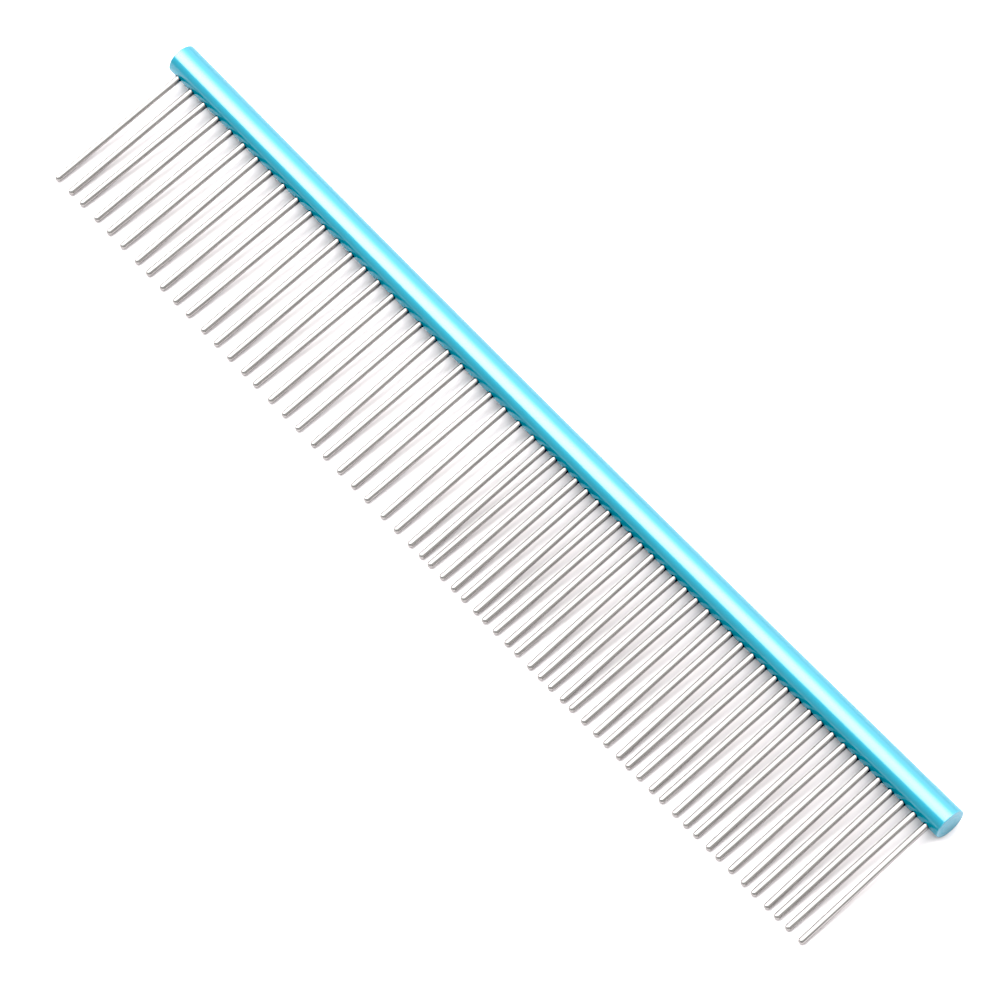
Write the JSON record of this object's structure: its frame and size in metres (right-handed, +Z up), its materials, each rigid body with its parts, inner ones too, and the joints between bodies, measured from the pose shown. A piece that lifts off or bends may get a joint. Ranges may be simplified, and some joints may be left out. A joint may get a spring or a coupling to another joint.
{
  "type": "grooming comb",
  "caption": "Straight two-pitch grooming comb: a round blue anodised aluminium spine with straight polished steel wire teeth, coarse in one half and fine in the other.",
  "frame": {"origin": "on the surface the comb lies on, below the middle of its bounding box", "axes": "+X along the spine from the coarse half to the fine half, teeth towards -Y, +Z up from the surface"},
  "size_m": [0.19, 0.033, 0.0056],
  "materials": {
    "spine_anodised": "satin sky-blue anodised, fine lines along the rod",
    "tooth_steel": "bright polished drawn stainless wire"
  },
  "bodies": {
    "root": {"spine": "spine_anodised", "coarse_tooth_01": "tooth_steel", "coarse_tooth_02": "tooth_steel", "coarse_tooth_03": "tooth_steel", "coarse_tooth_04": "tooth_steel", "coarse_tooth_05": "tooth_steel", "coarse_tooth_06": "tooth_steel", "coarse_tooth_07": "tooth_steel", "coarse_tooth_08": "tooth_steel", "coarse_tooth_09": "tooth_steel", "coarse_tooth_10": "tooth_steel", "coarse_tooth_11": "tooth_steel", "coarse_tooth_12": "tooth_steel", "coarse_tooth_13": "tooth_steel", "coarse_tooth_14": "tooth_steel", "coarse_tooth_15": "tooth_steel", "coarse_tooth_16": "tooth_steel", "coarse_tooth_17": "tooth_steel", "coarse_tooth_18": "tooth_steel", "coarse_tooth_19": "tooth_steel", "coarse_tooth_20": "tooth_steel", "coarse_tooth_21": "tooth_steel", "coarse_tooth_22": "tooth_steel", "coarse_tooth_23": "tooth_steel", "coarse_tooth_24": "tooth_steel", "coarse_tooth_25": "tooth_steel", "coarse_tooth_26": "tooth_steel", "coarse_tooth_27": "tooth_steel", "fine_tooth_01": "tooth_steel", "fine_tooth_02": "tooth_steel", "fine_tooth_03": "tooth_steel", "fine_tooth_04": "tooth_steel", "fine_tooth_05": "tooth_steel", "fine_tooth_06": "tooth_steel", "fine_tooth_07": "tooth_steel", "fine_tooth_08": "tooth_steel", "fine_tooth_09": "tooth_steel", "fine_tooth_10": "tooth_steel", "fine_tooth_11": "tooth_steel", "fine_tooth_12": "tooth_steel", "fine_tooth_13": "tooth_steel", "fine_tooth_14": "tooth_steel", "fine_tooth_15": "tooth_steel", "fine_tooth_16": "tooth_steel", "fine_tooth_17": "tooth_steel", "fine_tooth_18": "tooth_steel", "fine_tooth_19": "tooth_steel", "fine_tooth_20": "tooth_steel", "fine_tooth_21": "tooth_steel", "fine_tooth_22": "tooth_steel", "fine_tooth_23": "tooth_steel", "fine_tooth_24": "tooth_steel", "fine_tooth_25": "tooth_steel", "fine_tooth_26": "tooth_steel", "fine_tooth_27": "tooth_steel", "fine_tooth_28": "tooth_steel", "fine_tooth_29": "tooth_steel", "fine_tooth_30": "tooth_steel", "fine_tooth_31": "tooth_steel", "fine_teeth_32_to_35": "tooth_steel"}
  },
  "joints": []
}
